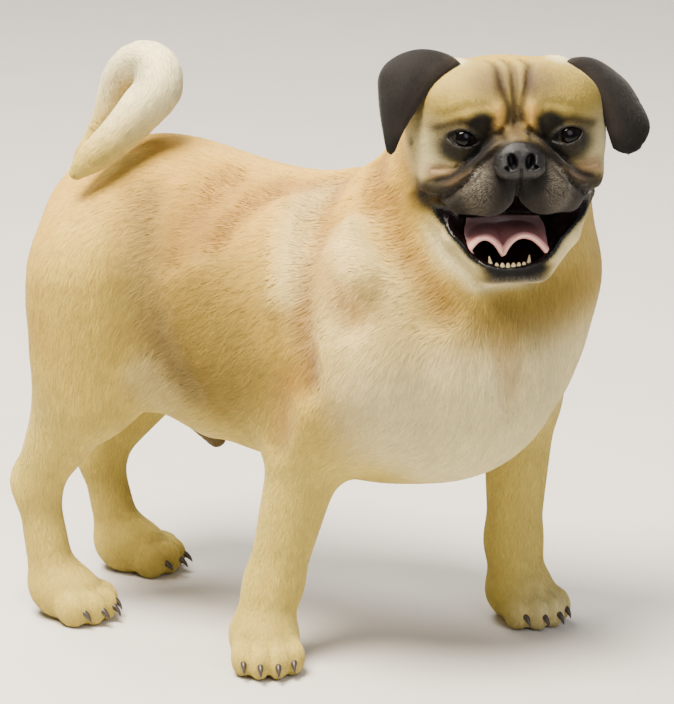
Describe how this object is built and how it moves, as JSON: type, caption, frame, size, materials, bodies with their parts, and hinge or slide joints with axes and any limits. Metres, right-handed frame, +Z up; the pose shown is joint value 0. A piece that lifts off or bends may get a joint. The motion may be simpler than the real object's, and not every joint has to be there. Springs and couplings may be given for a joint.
{
  "type": "pug",
  "caption": "Life-size adult fawn pug with a black mask, standing still on its paws, head turned to its right, mouth open and tail curled over its rump.",
  "frame": {"origin": "on the ground plane under the middle of the dog's overall box", "axes": "+Z up; the trunk runs along Y and the dog walks towards -Y; +X is the dog's left side"},
  "size_m": [0.2228, 0.3998, 0.3862],
  "materials": {
    "coat_fawn": "short, dense, dry fur, light fawn with a paler underside",
    "coat_cream": "short, soft cream fur on chest, legs and tail",
    "coat_black": "velvety brown-black fur of mask and ears",
    "skin_black": "moist black skin of lips, lids and gums",
    "nose_leather": "damp, finely pebbled black nose",
    "eye": "wet, very dark brown",
    "tongue": "wet pink, with fine papillae",
    "tooth": "ivory enamel",
    "claw": "dark horn with a paler tip"
  },
  "bodies": {
    "root": {"torso": "coat_fawn", "neck": "coat_fawn", "tail_root": "coat_cream", "tail_curl": "coat_cream", "tail_tip": "coat_cream", "fore_leg_right": "coat_cream", "fore_paw_right": "coat_cream", "fore_leg_left": "coat_cream", "fore_paw_left": "coat_cream", "hind_leg_right": "coat_fawn", "hind_paw_right": "coat_cream", "hind_leg_left": "coat_fawn", "hind_paw_left": "coat_cream", "head": "coat_fawn", "jaw": "coat_fawn", "tongue": "tongue", "nose": "nose_leather", "eye_right": "eye", "eye_left": "eye", "ear_right": "coat_black", "ear_left": "coat_black"}
  },
  "joints": []
}
